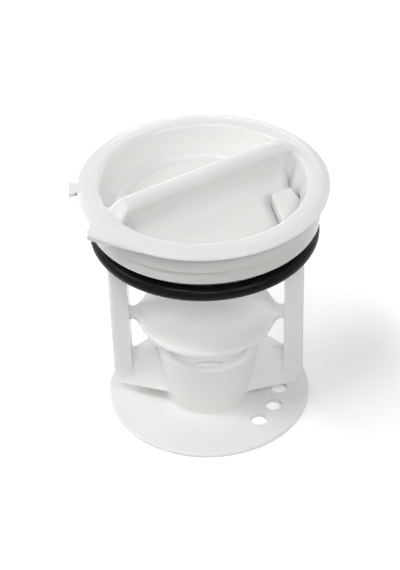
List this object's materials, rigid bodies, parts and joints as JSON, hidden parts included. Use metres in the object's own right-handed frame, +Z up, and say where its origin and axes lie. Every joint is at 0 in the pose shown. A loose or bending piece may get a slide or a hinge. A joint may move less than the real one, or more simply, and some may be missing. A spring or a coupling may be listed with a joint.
{
  "type": "washer pump filter",
  "caption": "White plastic drain pump filter for a washing machine: grip cap with a rubber seal ring, posts carrying a round baffle, and a tube on a flat base disc.",
  "frame": {"origin": "middle of the tube's open lower mouth, on the plane that the base disc stands on", "axes": "+Z up along the filter's axis through the cap, X through the two posts, -Y towards the side seen in the picture"},
  "size_m": [0.0622, 0.0602, 0.0689],
  "materials": {
    "white_plastic": "satin moulded polypropylene, slightly translucent",
    "black_rubber": "smooth moulded rubber with a soft sheen"
  },
  "bodies": {
    "root": {"filter_body": "white_plastic", "seal_ring": "black_rubber"}
  },
  "joints": []
}
